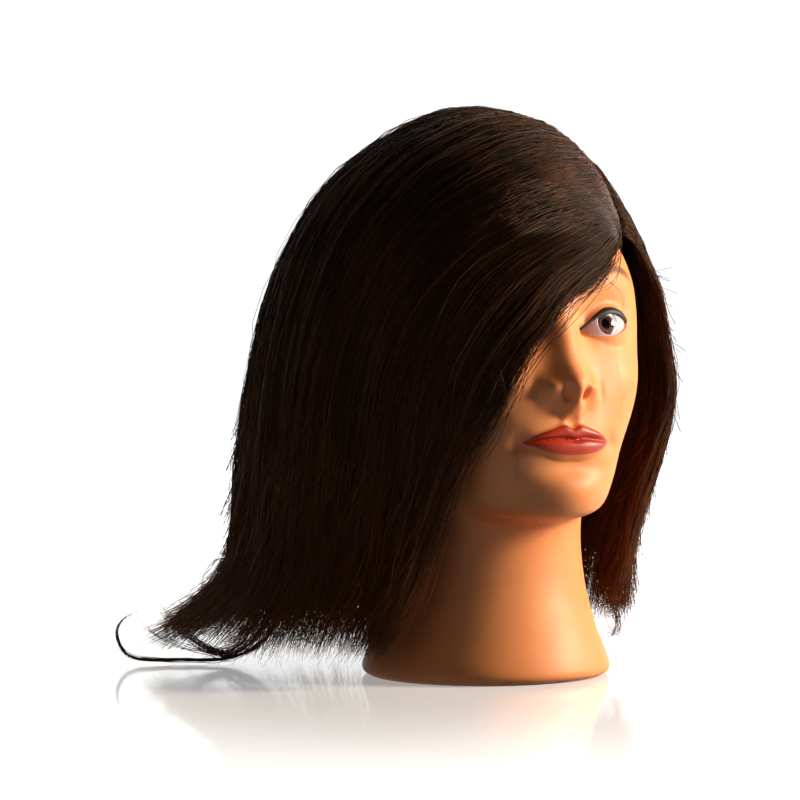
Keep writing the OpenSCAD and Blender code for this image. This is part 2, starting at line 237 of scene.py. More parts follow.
def head_surface(t, a):
    """Detailed skin and its paint masks: x, y, z and a dictionary of signed distances, in millimetres."""
    x, y, z = ring_points(t, a)
    side = np.sign(x)
    front = smooth(y, 5, 38)
    u, (v, d) = np.abs(x), to_face(y, z)
    su, sv = snapped(u, v, SKIN_CELL)
    u, v = mix(u, su, (front > 0.5)), mix(v, sv, (front > 0.5))
    d = d + front * (nose(u, v) + eye_area(u, v) + cheek(u, v) + lips(u, v) + chin(u, v))

    # skin drawn over the eyeball, with a lid rim, a fold above it and the opening between the lids
    reach = np.hypot(u - EYE_U, v - EYE_V)
    lid = ball_depth(u, v, EYE_R + LID_T)
    over = 0.5 * (d + lid + np.sqrt((d - lid) ** 2 + 1.5))
    e = eye_edge(u, v)
    over = mix(lid, over, smooth(e, 0.3, 3.2))
    d = mix(d, over, front * (1 - smooth(reach, 15.5, 19)))
    upper = smooth(v - lid_line(u), -1, 2)
    d = d + front * (1.0 * bump(e - 1.3, 1.3) * upper + 0.3 * bump(e - 0.8, 0.9) * (1 - upper))
    d = d - front * 0.5 * bump(e - 6.5, 2.0) * smooth(v - lid_line(u), 3, 8)
    d = mix(d, np.minimum(ball_depth(u, v, EYE_R - SOCKET_GAP), d), front * smooth(-e, 0.02, 0.5))

    ny, nz = from_face(v, d)
    beside = 1 - smooth(np.abs(np.cos(a))[None], 0.3, 0.75)
    nx = side * u + side * ear(y, z) * beside
    top, low = lip_edges(u)
    masks = {
        "eye": np.where(front > 0.5, e, 9.0),
        "liner": np.where(front > 0.5, v - lid_line(u), -9.0),
        "lip": np.where((front > 0.5) & (u < LIP_HALF), np.maximum(v - top, low - v), 9.0),
        "face_u": np.where(front > 0.5, u, 99.0),
        "face_v": np.where(front > 0.5, v, -99.0),
    }
    return nx, ny, nz, masks


# ---------------------------------------------------------------- mesh helpers


def new_object(name, verts, faces, uv=None, attributes=None):
    """Object from arrays: vertices in metres, faces of one size, and UVs per face corner."""
    faces = np.asarray(faces, np.int32)
    mesh = bpy.data.meshes.new(name)
    mesh.vertices.add(len(verts))
    mesh.vertices.foreach_set("co", np.ascontiguousarray(verts, np.float32).ravel())
    mesh.loops.add(faces.size)
    mesh.loops.foreach_set("vertex_index", faces.ravel())
    mesh.polygons.add(len(faces))
    mesh.polygons.foreach_set("loop_start", np.arange(0, faces.size, faces.shape[1], dtype=np.int32))
    mesh.polygons.foreach_set("use_smooth", np.ones(len(faces), bool))
    if uv is not None:
        layer = mesh.uv_layers.new(name="OFBake")
        layer.data.foreach_set("uv", np.ascontiguousarray(uv, np.float32).ravel())
    for key, values in (attributes or {}).items():
        data = mesh.attributes.new(key, "FLOAT", "POINT").data
        data.foreach_set("value", values.astype(np.float32).ravel())
    mesh.update(calc_edges=True)
    obj = bpy.data.objects.new(name, mesh)
    bpy.context.scene.collection.objects.link(obj)
    return obj


def grid_faces(rows, cols, start=0):
    """Quads between rings of points, from the point numbered start."""
    i, j = np.meshgrid(np.arange(rows - 1), np.arange(cols), indexing="ij")
    k = (j + 1) % cols
    corners = [i * cols + j, i * cols + k, (i + 1) * cols + k, (i + 1) * cols + j]
    return start + np.stack(corners, -1).reshape(-1, 4)


def dress(obj, mat, slot, *nodes):
    """Material, body and the CAD nodes that a piece stands for; the slot argument is not used."""
    obj.data.materials.clear()
    obj.data.materials.append(mat)
    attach(obj, "root")
    if nodes:
        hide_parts(*nodes)


# ---------------------------------------------------------------- materials


class Nodes:
    """Short way to wire a material's nodes."""

    def __init__(self, name, **sockets):
        self.mat = bpy.data.materials.new(name)
        self.mat.use_nodes = True
        self.tree = self.mat.node_tree
        self.shader = self.tree.nodes["Principled BSDF"]
        for key, value in sockets.items():
            self.shader.inputs[key.replace("_", " ")].default_value = value

    def add(self, kind, links=None, **settings):
        n = self.tree.nodes.new("ShaderNode" + kind)
        for key, value in settings.items():
            setattr(n, key, value)
        for key, value in (links or {}).items():
            self.put(value, n.inputs[key])
        return n

    def put(self, value, socket):
        if isinstance(value, bpy.types.NodeSocket):
            self.tree.links.new(value, socket)
        else:
            socket.default_value = value

    def math(self, op, a, b=0.0, c=0.0):
        return self.add("Math", {0: a, 1: b, 2: c}, operation=op).outputs[0]

    def ramp(self, value, low, high):
        """0 at low and 1 at high, smoothly."""
        ends = {"Value": value, "From Min": low, "From Max": high}
        return self.add("MapRange", ends, interpolation_type="SMOOTHSTEP").outputs["Result"]

    def blend(self, factor, a, b):
        n = self.add("Mix", data_type="RGBA")
        self.put(factor, n.inputs[0])
        self.put(a, n.inputs[6])
        self.put(b, n.inputs[7])
        return n.outputs[2]

    def attribute(self, name):
        return self.add("Attribute", attribute_name=name).outputs["Fac"]

    def noise(self, scale, detail=3.0, coords="Object", stretch=None):
        where = self.add("TexCoord").outputs[coords]
        if stretch:
            where = self.add("Mapping", {"Vector": where, "Scale": stretch}).outputs[0]
        return self.add("TexNoise", {"Vector": where, "Scale": scale, "Detail": detail}).outputs["Fac"]

    def bumpy(self, height, distance, strength=1.0):
        n = self.add("Bump", {"Height": height, "Distance": distance, "Strength": strength})
        self.put(n.outputs[0], self.shader.inputs["Normal"])

    def colour(self, value):
        self.put(value, self.shader.inputs["Base Color"])

    def roughness(self, value):
        self.put(value, self.shader.inputs["Roughness"])


def rgb(r, g, b):
    """Display colour, 0 to 255, as a linear one."""
    linear = lambda c: (c / 255) / 12.92 if c <= 10 else ((c / 255 + 0.055) / 1.055) ** 2.4
    return (linear(r), linear(g), linear(b), 1)


def skin_material():
    m = Nodes("vinyl_skin", Specular_IOR_Level=0.3, Subsurface_Weight=0.14, Subsurface_Scale=0.006,
              Subsurface_Radius=(1.0, 0.35, 0.15))
    mottle = m.noise(38, 3)
    colour = m.blend(m.ramp(mottle, 0.3, 0.7), rgb(240, 150, 88), rgb(244, 158, 96))
    u, v = m.attribute("face_u"), m.attribute("face_v")
    # sprayed lips in a warm halo
    lip = m.attribute("lip")
    halo = m.math("MULTIPLY", m.ramp(lip, 1.6, 0.0), 0.35)
    colour = m.blend(halo, colour, rgb(226, 110, 66))
    red = m.blend(m.ramp(m.noise(60, 2), 0.35, 0.65), rgb(176, 46, 18), rgb(200, 62, 28))
    colour = m.blend(m.ramp(lip, 0.25, -0.15), colour, red)
    # brow: short fine strokes inside a soft arch, a parabola about its highest point
    bend = m.math("POWER", m.math("DIVIDE", m.math("SUBTRACT", u, 41.0), 22.0), 2.0)
    arch = m.math("ADD", m.math("MULTIPLY", bend, -7.0), 87.0)
    off = m.math("ABSOLUTE", m.math("SUBTRACT", v, arch))
    ends = m.math("MULTIPLY", m.ramp(u, 13, 20), m.ramp(u, 58, 47))
    strokes = m.ramp(m.noise(900, 2, stretch=(0.5, 0.5, 2.2)), 0.25, 0.6)
    body = m.math("MULTIPLY", m.ramp(off, 3.7, 1.0), ends)
    brow = m.math("MULTIPLY", body, m.math("MULTIPLY_ADD", strokes, 0.35, 0.6))
    colour = m.blend(brow, colour, rgb(92, 50, 28))
    # black liner on the upper lid, thinner towards the nose, and a pink lower rim
    e = m.attribute("eye")
    above = m.attribute("liner")
    width = m.math("MULTIPLY_ADD", m.ramp(u, 15, 30), 1.8, 1.3)
    liner = m.math("MULTIPLY", m.ramp(m.math("SUBTRACT", e, width), 0.2, -0.2), m.ramp(above, -0.2, 0.5))
    liner = m.math("MULTIPLY", liner, m.ramp(m.math("ADD", u, e), 47.0, 45.8))
    rim = m.math("MULTIPLY", m.ramp(e, 1.0, 0.1), m.ramp(above, 0.2, -0.4))
    colour = m.blend(m.math("MULTIPLY", rim, 0.5), colour, rgb(222, 122, 98))
    colour = m.blend(liner, colour, rgb(8, 5, 5))
    m.colour(colour)
    # the lips are glossier than the skin
    matt = m.math("MULTIPLY_ADD", m.noise(120, 2), 0.12, 0.44)
    m.roughness(m.math("SUBTRACT", matt, m.math("MULTIPLY", m.ramp(lip, 0.25, -0.15), 0.1)))
    m.bumpy(m.noise(1400, 3), 0.00012, 0.35)
    return m.mat


def eye_material():
    m = Nodes("eye_white", Coat_Weight=0.3, Coat_Roughness=0.05)
    m.colour(m.blend(m.ramp(m.noise(240, 4), 0.45, 0.75), rgb(226, 206, 214), rgb(216, 180, 186)))
    m.roughness(m.math("MULTIPLY_ADD", m.noise(90, 2), 0.06))
    return m.mat


def iris_material():
    """Radial fibres round a black pupil, from the disc's own UVs: U round it, V outward."""
    m = Nodes("iris_print", Specular_IOR_Level=0.1)
    uv = m.add("UVMap", uv_map="OFBake").outputs[0]
    split = m.add("SeparateXYZ", {0: uv})
    out = split.outputs[1]
    drawn_out = m.add("Mapping", {"Vector": uv, "Scale": (70, 2.2, 1)}).outputs[0]
    fibres = m.add("TexNoise", {"Vector": drawn_out, "Scale": 1.0, "Detail": 3.0}).outputs["Fac"]
    colour = m.blend(m.ramp(fibres, 0.3, 0.7), rgb(92, 50, 34), rgb(158, 100, 74))
    colour = m.blend(m.ramp(out, 0.6, 1.0), colour, rgb(74, 44, 36))
    colour = m.blend(m.ramp(out, 0.54, 0.48), colour, rgb(3, 3, 4))
    m.colour(colour)
    m.roughness(m.math("MULTIPLY_ADD", fibres, 0.1))
    return m.mat


def lens_material():
    m = Nodes("clear_lens", Base_Color=(1, 1, 1, 1), Transmission_Weight=1.0, IOR=1.25)
    m.roughness(m.math("MULTIPLY", m.noise(50, 2), 0.03))
    return m.mat


def hair_material(name, dark, warm, tip):
    """Each strand has its own tone; towards its tip it is painted lighter and warmer, a painted glow of
    backlit hair ends.
    """
    m = Nodes(name, Specular_IOR_Level=0.16, Specular_Tint=(1.0, 0.72, 0.5, 1.0))
    tone, length = m.attribute("tone"), m.attribute("length")
    streak = m.noise(55, 2, stretch=(1, 1, 0.2))
    level = m.math("MULTIPLY", tone, m.ramp(streak, 0.2, 0.75))
    colour = m.blend(level, dark, warm)
    # painted backlight glow: the tip colour blends in towards each strand's tip
    colour = m.blend(m.math("MULTIPLY", m.ramp(length, 0.55, 1.0), 0.4), colour, tip)
    m.colour(colour)
    m.roughness(m.math("MULTIPLY_ADD", tone, 0.12, 0.46))
    return m.mat


def plastic_material(name, colour_a, colour_b, rough, grain=800, depth=0.00008):
    m = Nodes(name)
    m.colour(m.blend(m.ramp(m.noise(45, 4), 0.35, 0.7), colour_a, colour_b))
    m.roughness(m.math("MULTIPLY_ADD", m.noise(200, 3), 0.15, rough))
    m.bumpy(m.noise(grain, 3), depth, 0.5)
    return m.mat


# ---------------------------------------------------------------- head


def face_room(y, z):
    """How much deeper the inside lies behind the face, for the eyes and the mouth."""
    return FACE_ROOM * smooth(y, 25, 50) * smooth(z, 85, 115) * (1 - smooth(z, 215, 245))


def build_head():
    """Closed skin: detailed outside, foot rim turned in to the disc, and a plain inside."""
    rows, cols = 440, 400
    # columns stand closer together at the front, and rings over the face
    psi = np.linspace(0, 2 * np.pi, cols, endpoint=False)
    a = psi - 0.58 * np.sin(psi)
    s = np.linspace(0, 1, 2001)
    weight = 0.55 + 1.0 * bump(s - 0.52, 0.17)
    s_of = np.interp(np.linspace(0, 1, rows), np.cumsum(weight) / weight.sum(), s)
    x, y, z, masks = head_surface(np.clip(s_of, 0, 0.997), a)
    outer = np.stack([x, -y, z], -1)
    ring = np.stack([np.sin(a), -np.cos(a), 0 * a], -1) * DISC_R
    inner_t = np.linspace(0.985, 0.14, 60)
    ix, iy, iz = ring_points(inner_t, a)
    inner = np.stack([ix, -iy, iz], -1)
    shrink = inner - np.array([0, 20.0, 0]) * smooth(iz, 60, 190)[..., None]
    thick = (SKIN_T + face_room(iy, iz))[..., None]
    reach = np.linalg.norm(shrink[..., :2], axis=-1, keepdims=True).clip(8)
    inner = inner - thick * shrink * [1, 1, 0] / reach
    inner[..., 2] -= SKIN_T * smooth(iz, 200, 275)
    foot = np.stack([ring + [0, 0, FOOT_Z], ring])
    stack = np.concatenate([outer, inner, foot])
    n = len(stack)
    verts = stack.reshape(-1, 3) * MM
    quads = np.concatenate([grid_faces(rows, cols), grid_faces(len(inner) + 2, cols, rows * cols)])
    rim_a, rim_b = np.arange(cols), (n - 1) * cols + np.arange(cols)
    rim = np.stack([rim_b, np.roll(rim_b, -1), np.roll(rim_a, -1), rim_a], -1)
    quads = np.concatenate([quads, rim])
    # the paint masks read as unpainted on the inside
    pad = lambda k, fill: np.concatenate([k.ravel(), np.full((n - rows) * cols, fill)])
    fills = {"eye": 9, "liner": -9, "lip": 9, "face_u": 99, "face_v": -99}
    obj = new_object("vinyl_head", verts, quads, None, {k: pad(v, fills[k]) for k, v in masks.items()})
    # cylinder UVs: round the head across, up it along; the inside shares a narrow band at the bottom
    mesh = obj.data
    corner = np.empty(len(mesh.loops), np.int32)
    mesh.loops.foreach_get("vertex_index", corner)
    row, col = corner // cols, corner % cols
    first = (np.arange(len(corner)) // 4) * 4
    wrapped = (col == 0) & (np.maximum.reduceat(col, np.arange(0, len(col), 4)).repeat(4) == cols - 1)
    across = np.where(wrapped, 1.0, col / cols)
    up = np.where(row < rows, 0.08 + 0.91 * row / (rows - 1), 0.005 + 0.07 * (row - rows) / (n - rows))
    rim_loops = first >= 4 * (len(quads) - cols)
    up = np.where(rim_loops, np.where(row < rows, 0.0, 0.004), up)
    layer = mesh.uv_layers.new(name="OFBake")
    layer.data.foreach_set("uv", np.stack([across, up], -1).astype(np.float32).ravel())
    return obj


def build_foam():
    """Plain closed core well inside the skin."""
    rows, cols = 60, 96
    a = np.linspace(0, 2 * np.pi, cols, endpoint=False)
    x, y, z = ring_points(np.linspace(0.16, 0.93, rows), a)
    inset = SKIN_T + FOAM_GAP + face_room(y, z)
    core = core_points(np.stack([x, y, z], -1))
    out = np.stack([x, y, z], -1) - core
    p = core + out * (1 - inset / np.linalg.norm(out, axis=-1))[..., None]
    verts = p.reshape(-1, 3) * [1, -1, 1] * MM
    verts = np.concatenate([verts, [verts[:cols].mean(0), verts[-cols:].mean(0)]])
    i, j = [k.ravel() for k in np.meshgrid(np.arange(rows - 1), np.arange(cols), indexing="ij")]
    ring = np.arange(cols)
    first, last = np.zeros(cols, int), np.full(cols, rows - 1)
    # corners as (row, column), with the two caps' centres just past the first and last row
    triangles = [((i, j), (i, j + 1), (i + 1, j + 1)), ((i, j), (i + 1, j + 1), (i + 1, j)),
                 ((first - 6, ring + 0.5), (first, ring + 1), (first, ring)),
                 ((last + 6, ring + 0.5), (last, ring), (last, ring + 1))]

    def number(row, col):
        on_grid = (row * cols + col % cols).astype(int)
        return np.where(row < 0, rows * cols, np.where(row >= rows, rows * cols + 1, on_grid))

    spot = lambda row, col: np.stack([col / cols, 0.1 + 0.8 * row / rows], -1)
    faces = np.concatenate([np.stack([number(*k) for k in corners], -1) for corners in triangles])
    uv = np.concatenate([np.stack([spot(*k) for k in corners], 1) for corners in triangles]).reshape(-1, 2)
    return new_object("foam_fill", verts, faces, uv)


def dome(name, profile, side, segments=64):
    """Surface of revolution looking out of an eye: profile is (radius, height) from the eyeball's centre."""
    profile = np.array(profile, float)
    a = np.linspace(0, 2 * np.pi, segments, endpoint=False)
    r, h = profile[:, :1], profile[:, 1:]
    u, v, d = r * np.cos(a), r * np.sin(a), h + 0 * a
    y, z = from_face(EYE_V + v, EYE_DEPTH + d)
    points = np.stack([side * EYE_U + u, -y, z], -1).reshape(-1, 3) * MM
    rows = len(profile)
    # U runs round the axis and V outward from it
    i = np.arange(rows - 1).repeat(segments)
    j = np.tile(np.arange(segments), rows - 1)
    out = profile[:, 0] / profile[:, 0].max()
    corners = [(i, j), (i, j + 1), (i + 1, j + 1), (i + 1, j)]
    uv = np.stack([np.stack([col / segments, out[row]], -1) for row, col in corners], 1)
    return new_object(name, points, grid_faces(rows, segments), uv.reshape(-1, 2))


def eye_profiles():
    """Half sections of the eye's three pieces about its axis."""
    axis, ball_end = 0.01, 0.95
    rim = math.asin(IRIS_R / EYE_R)
    seat = EYE_R * math.cos(rim)
    ball = [(axis, seat - 1.2), (IRIS_R, seat - 1.2)]
    ball += [(EYE_R * math.sin(k), EYE_R * math.cos(k)) for k in np.linspace(rim, ball_end, 30)]
    ball += [(axis, EYE_R * math.cos(ball_end))]
    # the print rises a little from the pupil to its edge
    front, back, edge = seat - 1.0, seat - 1.15, IRIS_R - 0.02
    iris = [(axis, front), (PUPIL_R, front)]
    iris += [(k, front + 0.09 * (k - PUPIL_R)) for k in np.linspace(PUPIL_R + 0.2, edge, 12)]
    iris += [(edge, back), (axis, back)]
    lens_centre = seat - math.sqrt(LENS_R**2 - IRIS_R**2)
    lens = [(IRIS_R * k, seat - 0.35) for k in (0.002, 0.5, 0.9, 0.95, 0.97, 0.98)]
    around = np.linspace(math.asin(IRIS_R / LENS_R), 0.002, 24)
    lens += [(LENS_R * math.sin(k), lens_centre + LENS_R * math.cos(k)) for k in around]
    return ball, iris, lens[::-1]


def build_eyes():
    ball, iris, lens = eye_profiles()
    white_mat, iris_mat, lens_mat = eye_material(), iris_material(), lens_material()
    for side, name in ((1, "left"), (-1, "right")):
        dress(dome("eyeball_" + name, ball, side), white_mat, "eye_white", "eye_white_" + name)
        dress(dome("iris_" + name, iris, side), iris_mat, "iris_print", "iris_disc_" + name)
        dress(dome("cornea_" + name, lens, side), lens_mat, "clear_lens", "cornea_lens_" + name)


# ---------------------------------------------------------------- hair

# Locks on the outer surface, from the parting or crown to the tip: x, y forward and z
LOCKS = np.array([
    [(52, 44, 226), (42, 60, 215), (27, 68, 201), (-1, 74, 190), (-24, 74, 168), (-39, 71, 140),
     (-56, 58, 110), (-62, 43, 78), (-69, 36, 45), (-86, 31, 12)],
    [(54, 34, 237), (36, 52, 242), (8, 66, 236), (-28, 68, 218), (-58, 59, 190), (-74, 47, 158),
     (-80, 38, 124), (-83, 31, 88), (-88, 26, 50), (-102, 24, 12)],
    [(54, 20, 250), (33, 35, 263), (0, 42, 265), (-42, 42, 245), (-75, 32, 210), (-89, 19, 175),
     (-94, 10, 138), (-97, 6, 100), (-101, 4, 58), (-114, 4, 12)],
    [(50, 4, 264), (30, 9, 278), (-8, 9, 282), (-53, 5, 261), (-85, -4, 223), (-97, -12, 186),
     (-102, -18, 148), (-105, -21, 106), (-109, -22, 50), (-130, -23, 9)],
    [(43, -16, 274), (22, -20, 287), (-16, -28, 287), (-58, -42, 262), (-83, -52, 228), (-94, -60, 190),
     (-99, -66, 150), (-103, -71, 100), (-107, -74, 46), (-140, -98, 8)],
    [(31, -37, 279), (12, -40, 290), (-15, -63, 282), (-43, -88, 256), (-59, -103, 221), (-68, -113, 184),
     (-72, -118, 146), (-76, -122, 98), (-82, -129, 44), (-110, -154, 8)],
    [(19, -53, 280), (9, -68, 284), (-2, -90, 269), (-8, -112, 241), (-11, -126, 206), (-12, -133, 170),
     (-12, -136, 134), (-12, -137, 96), (-12, -141, 44), (-16, -160, 9)],
    [(29, -48, 279), (35, -60, 281), (40, -84, 264), (47, -103, 235), (53, -115, 202), (58, -122, 168),
     (60, -125, 134), (60, -125, 96), (59, -128, 58), (63, -142, 10)],
    [(45, -18, 273), (54, -31, 271), (68, -48, 255), (81, -61, 228), (91, -69, 198), (96, -73, 164),
     (98, -75, 130), (94, -75, 94), (90, -75, 58), (92, -82, 14)],
    [(52, 6, 261), (62, 8, 259), (77, 6, 244), (90, 3, 221), (99, 0, 194), (105, -3, 162),
     (106, -5, 128), (97, -7, 92), (88, -8, 58), (84, -8, 20)],
    [(54, 42, 225), (62, 42, 223), (74, 40, 212), (85, 37, 198), (93, 33, 176), (99, 30, 150),
     (97, 26, 122), (86, 23, 90), (77, 21, 58), (72, 20, 24)],
], float)
SECTIONS = ["fringe", "front_right", "temple_right", "side_right", "back_right", "nape_right", "nape_left",
            "back_left", "side_left", "front_left"]
TABLE_C, TABLE_T = 401, 161
HAIR_DEPTH, LEAST_DEPTH = 24.0, 0.6
ROOT_LIFT = 0.3
RAY_LEAD = 10.0                   # rays to the scalp start this far outside the hair
PARTING_LIFT = 8.0
DRAW_IN = 0.035                   # share by which the hair lies closer halfway down
BACK_LIMIT = (-158, 14)           # y where the hair is held in, and how much further it can reach
FRINGE_SHIFT = 0.18               # share of its section by which the fringe's upper edge moves back
# how far along each lock the scalp reaches
SCALP_END = [0.05, 0.3, 0.42, 0.46, 0.6, 0.66, 0.68, 0.66, 0.58, 0.42, 0.12]
STRAND_POINTS = 17
STRANDS = 1900
# loose locks: strands, spread in mm, thickness and the points they pass
STRAYS = [
    (50, 0.9, 1, [(-84, -78, 90), (-80, -80, 52), (-80, -84, 18), (-98, -96, 3.5), (-118, -108, 2.4),
                  (-136, -118, 2.6), (-147, -124, 5), (-151, -128, 15), (-149, -126, 23), (-143, -122, 27)]),
    (16, 3.0, 0.6, [(-84, -78, 90), (-82, -80, 52), (-84, -88, 14), (-98, -96, 6), (-118, -108, 8),
                    (-132, -116, 14), (-142, -120, 24), (-140, -118, 34), (-128, -110, 36)]),
    (30, 2.4, 1, [(-86, -82, 80), (-80, -86, 30), (-94, -98, 6), (-110, -104, 9), (-119, -108, 18),
                  (-120, -108, 33)]),
    (34, 3.4, 0.8, [(-88, -80, 70), (-88, -90, 24), (-100, -98, 6), (-115, -106, 11), (-128, -113, 26),
                    (-134, -117, 34)]),
    (30, 3.4, 0.8, [(-92, -84, 120), (-94, -86, 76), (-93, -92, 52), (-100, -96, 38), (-110, -102, 31),
                    (-119, -108, 27)]),
    (5, 1.2, 0.8, [(-91, -90, 76), (-98, -96, 57), (-105, -102, 55), (-112, -103, 46), (-112, -104, 36),
                   (-106, -102, 30)]),
    (30, 3.2, 1, [(92, -20, 100), (84, -10, 60), (78, 2, 36), (76, 10, 22), (70, 14, 17), (64, 12, 24)]),
    (1, 0.5, 0.4, [(34, 62, 212), (32, 68, 183), (31, 70, 165), (33, 73, 140), (29, 75, 118)]),
    (4, 1.6, 0.4, [(20, 70, 206), (27, 73, 198), (36, 69, 193), (39, 65, 184), (36, 66, 178)]),
    (3, 1.8, 0.4, [(-40, 74, 158), (-33, 77, 128), (-27, 72, 104), (-14, 65, 82), (0, 60, 62)]),
    (12, 5.0, 0.6, [(-20, 76, 172), (-30, 76, 150), (-42, 68, 128), (-52, 58, 104), (-56, 50, 84)]),
]


def core_points(p):
    """Centre of the head or neck beside points of the hair."""
    h = np.clip(p[..., 2], 30, 205)
    return np.stack([0 * h, -18 * smooth(h, 60, 190), h], -1)


def hair_tables(head):
    """Outer and inner surface of the hair over lock position and distance along the lock."""
    t = np.linspace(0, 1, TABLE_T)
    guides = along(LOCKS.transpose(1, 0, 2), t).transpose(1, 0, 2)
    outer = along(guides, np.linspace(0, 1, TABLE_C))
    c = np.linspace(0, len(SECTIONS), TABLE_C)
    edge = smooth(np.minimum(c, len(SECTIONS) - c), 0, 1.2)[:, None]
    depth = HAIR_DEPTH * (0.3 + 0.7 * edge) * smooth(t, -0.1, 0.3)[None]
    corners = [v.co.copy() for v in head.data.vertices]
    skin = BVHTree.FromPolygons(corners, [p.vertices[:] for p in head.data.polygons])
    inner = outer.copy()
    core = core_points(outer)
    for i in range(TABLE_C):
        for j in range(TABLE_T):
            start, end = outer[i, j] * [1, -1, 1], core[i, j] * [1, -1, 1]
            ray = Vector((end - start) * MM)
            away = ray.normalized()
            hit = skin.ray_cast(Vector(start * MM) - away * (RAY_LEAD * MM), away)
            room = (hit[3] / MM - RAY_LEAD - ROOT_LIFT) if hit[0] is not None else 1e3
            most = depth[i, j] if t[j] > 0.1 else 1e3
            inner[i, j] += (end - start) / ray.length * MM * np.clip(room, -RAY_LEAD, most)
            if room < LEAST_DEPTH:
                outer[i, j] = inner[i, j] + (start - end) * [1, -1, 1] / ray.length * MM * LEAST_DEPTH
    # the hair stands up from its roots along the parting, and lies closer round the head further down
    outer[..., 2] += PARTING_LIFT * (1 - smooth(t, 0.02, 0.3))
    outer[..., :2] *= (1 - DRAW_IN * bump(t - 0.4, 0.18))[:, None]
    return outer, inner


def sample(table, c, t):
    """Bilinear look-up, c in sections and t from 0 to 1."""
    x = np.clip(c / len(SECTIONS), 0, 1) * (TABLE_C - 1.001)
    y = np.clip(t, 0, 1) * (TABLE_T - 1.001)
    i, j = x.astype(int), y.astype(int)
    fx, fy = (x - i)[..., None], (y - j)[..., None]
    return mix(mix(table[i, j], table[i + 1, j], fx), mix(table[i, j + 1], table[i + 1, j + 1], fx), fy)


def waves(count, steps, cycles, draws):
    """Smooth random offsets along strands, in three axes."""
    phase = draws.uniform(0, 2 * np.pi, (count, 1, 3, 3))
    rate = draws.uniform(0.5, 1.0, (count, 1, 3, 3)) * cycles * np.array([0.5, 1, 2])
    size = draws.normal(0, 1, (count, 1, 3, 3)) * np.array([1, 0.6, 0.3])
    return (np.sin(2 * np.pi * rate * steps[..., None, None] + phase) * size).sum(-1) * 0.6


def strand_mesh(name, paths, radius, tone, length):
    """Closed three-sided tubes along paths (strand, point, xyz) in millimetres."""
    n, m = paths.shape[:2]
    tangent = np.gradient(paths, axis=1)
    tangent /= np.linalg.norm(tangent, axis=-1, keepdims=True) + 1e-9
    ref = rng.normal(size=(n, 1, 3))
    side = np.cross(tangent, ref)
    side /= np.linalg.norm(side, axis=-1, keepdims=True) + 1e-9
    up = np.cross(tangent, side)
    k = np.arange(3) * 2 * np.pi / 3
    ring = side[:, :, None] * np.cos(k)[:, None] + up[:, :, None] * np.sin(k)[:, None]
    verts = paths[:, :, None] + ring * radius[:, :, None, None]
    verts = verts.reshape(-1, 3) * [1, -1, 1] * MM
    verts[:, 2] = np.maximum(verts[:, 2], 0.0003)
    i, j, s = np.meshgrid(np.arange(n), np.arange(m - 1), np.arange(3), indexing="ij")
    at = lambda row, corner: (i * m + row) * 3 + corner % 3
    quads = np.stack([at(j, s), at(j + 1, s), at(j + 1, s + 1), at(j, s + 1)], -1)
    tris = np.concatenate([quads[..., [0, 1, 2]].reshape(-1, 3), quads[..., [0, 2, 3]].reshape(-1, 3)])
    base = np.arange(n) * m * 3
    root = np.stack([base, base + 1, base + 2], -1)
    tip = base[:, None] + (m - 1) * 3 + np.array([2, 1, 0])
    tris = np.concatenate([tris, root, tip])
    strand, row, corner = tris // (3 * m), tris // 3 % m, tris % 3
    half = (n + 1) // 2
    across = (strand % half + 0.15 + 0.35 * corner) / half
    uv = np.stack([across, (strand // half + 0.02 + 0.96 * row / (m - 1)) / 2], -1).reshape(-1, 2)
    spread = lambda v: np.repeat(np.broadcast_to(v, (n, m)).reshape(-1), 3)
    return new_object(name, verts, tris, uv, {"tone": spread(tone), "length": spread(length)})


